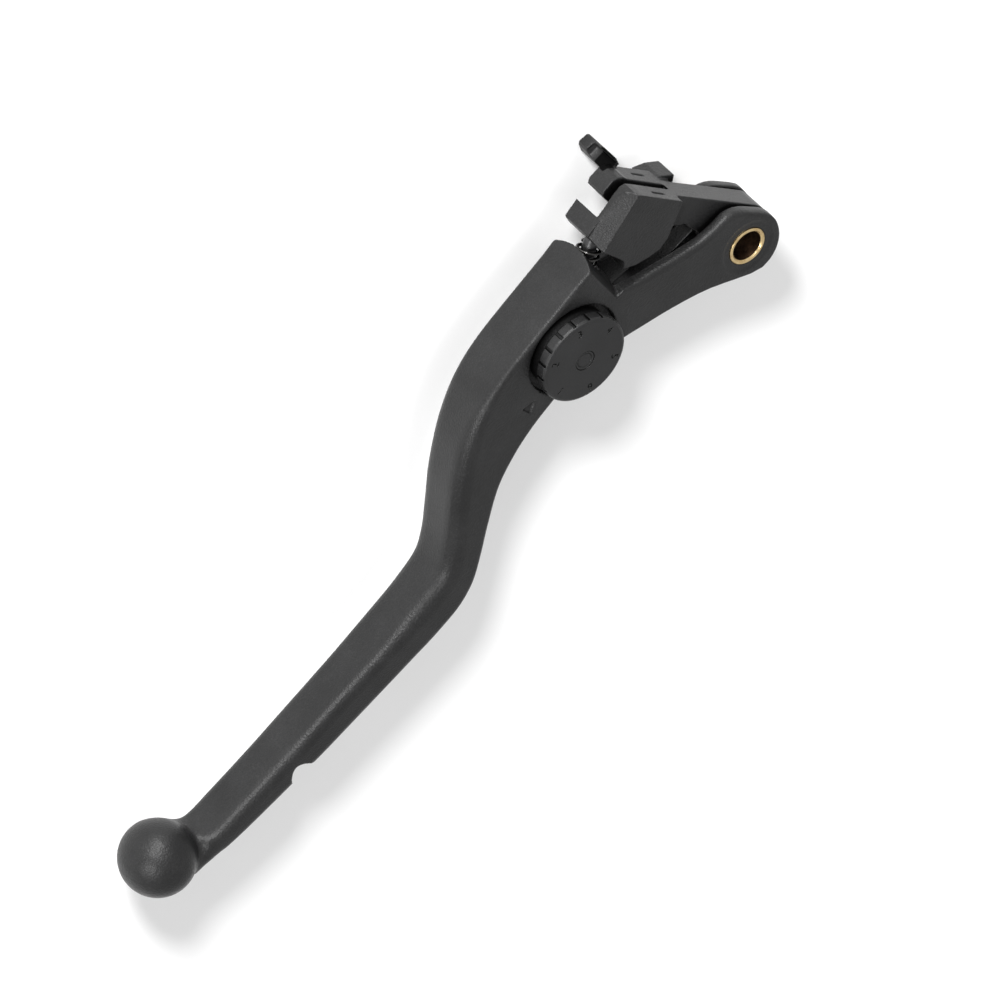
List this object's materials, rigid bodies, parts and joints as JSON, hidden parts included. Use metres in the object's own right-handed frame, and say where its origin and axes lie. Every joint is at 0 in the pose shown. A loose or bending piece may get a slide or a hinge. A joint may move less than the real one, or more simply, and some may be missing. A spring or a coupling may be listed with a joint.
{
  "type": "clutch lever",
  "caption": "Motorcycle clutch lever with ball end, forked pivot, hinged thrust arm and a rotary dial that adjusts its reach.",
  "frame": {"origin": "centre of the pivot bore, half way through the lever's thickness", "axes": "+X along the lever from the ball end towards the pivot, +Y forward, away from the grip, +Z along the pivot axis towards the adjuster dial"},
  "size_m": [0.2164, 0.0614, 0.029],
  "materials": {
    "black_alloy": "fine-textured black powder coat over cast aluminium",
    "brass_bush": "turned brass, plain bearing finish",
    "steel": "turned and ground steel, zinc plated",
    "dark_steel": "black oiled steel",
    "spring_steel": "dark spring wire, glossy",
    "black_moulding": "fine-textured black glass-filled nylon",
    "washer_polymer": "plain bearing polymer"
  },
  "bodies": {
    "lever": {"lever_body": "black_alloy", "pivot_bush": "brass_bush", "upper_washer": "washer_polymer", "lower_washer": "washer_polymer", "return_spring": "spring_steel", "spindle_washer": "steel", "detent_ball": "steel", "detent_spring": "spring_steel"},
    "arm": {"thrust_arm": "black_alloy", "follower_pin": "steel", "spring_guide": "steel"},
    "dial": {"adjuster_dial": "black_moulding", "dial_screw": "dark_steel", "dial_cap": "black_moulding", "cam_spindle": "steel", "spindle_clip": "dark_steel"}
  },
  "joints": [
    {"name": "dial_turn", "type": "hinge", "parent": "lever", "child": "dial", "pos_m": [-0.0454, 0.0225, 0], "axis": [0, 0, 1], "range_deg": [0, 300]},
    {"name": "arm_swing", "type": "hinge", "parent": "lever", "child": "arm", "pos_m": [0, 0, 0], "axis": [0, 0, 1], "range_deg": [0, 3.5], "deforming": ["return_spring"]}
  ],
  "couplings": [
    {"joint": "arm_swing", "follows": "dial_turn", "ratio": 0.011667}
  ]
}
